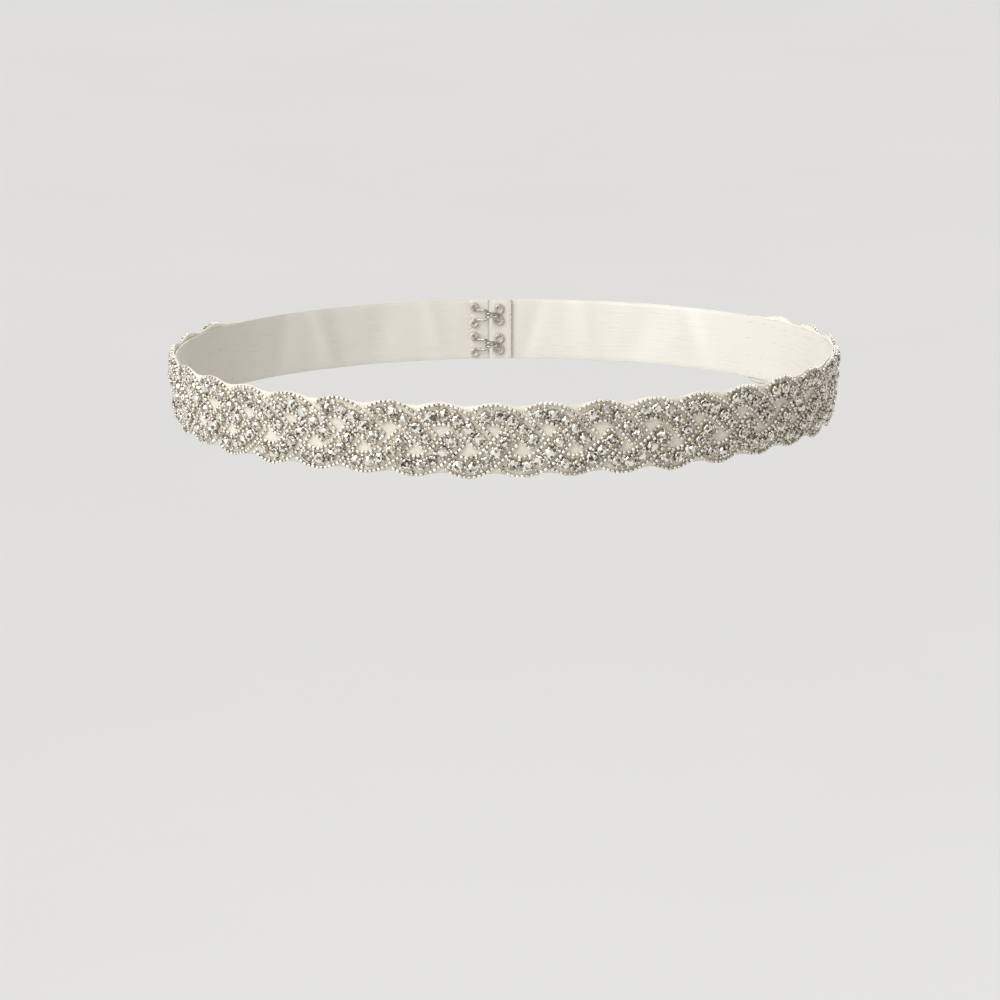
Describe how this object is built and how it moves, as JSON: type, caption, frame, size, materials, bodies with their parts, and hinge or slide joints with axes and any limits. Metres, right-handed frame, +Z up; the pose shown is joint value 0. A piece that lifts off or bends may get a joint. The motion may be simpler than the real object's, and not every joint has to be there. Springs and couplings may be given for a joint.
{
  "type": "bridal sash",
  "caption": "Bridal sash worn round a waist: ivory satin ribbon with a scalloped, plaited applique of rhinestones and seed beads over its front and sides, hooked at the back.",
  "frame": {"origin": "the middle of the wearer's waist, at the band's mid height", "axes": "+Z up the wearer, the wearer faces -Y, +X towards the wearer's left; centre back of the sash is at +Y"},
  "size_m": [0.2664, 0.2002, 0.0301],
  "materials": {
    "satin": "ivory polyester satin ribbon, soft sheen",
    "beadwork": "silver-lined seed beads and foil-backed cut glass stones in silver claws, on ivory cloth",
    "plated_wire": "nickel-plated brass wire"
  },
  "bodies": {
    "root": {"ribbon": "satin", "applique": "beadwork", "hook_upper": "plated_wire", "hook_lower": "plated_wire", "eye_upper": "plated_wire", "eye_lower": "plated_wire"}
  },
  "joints": []
}
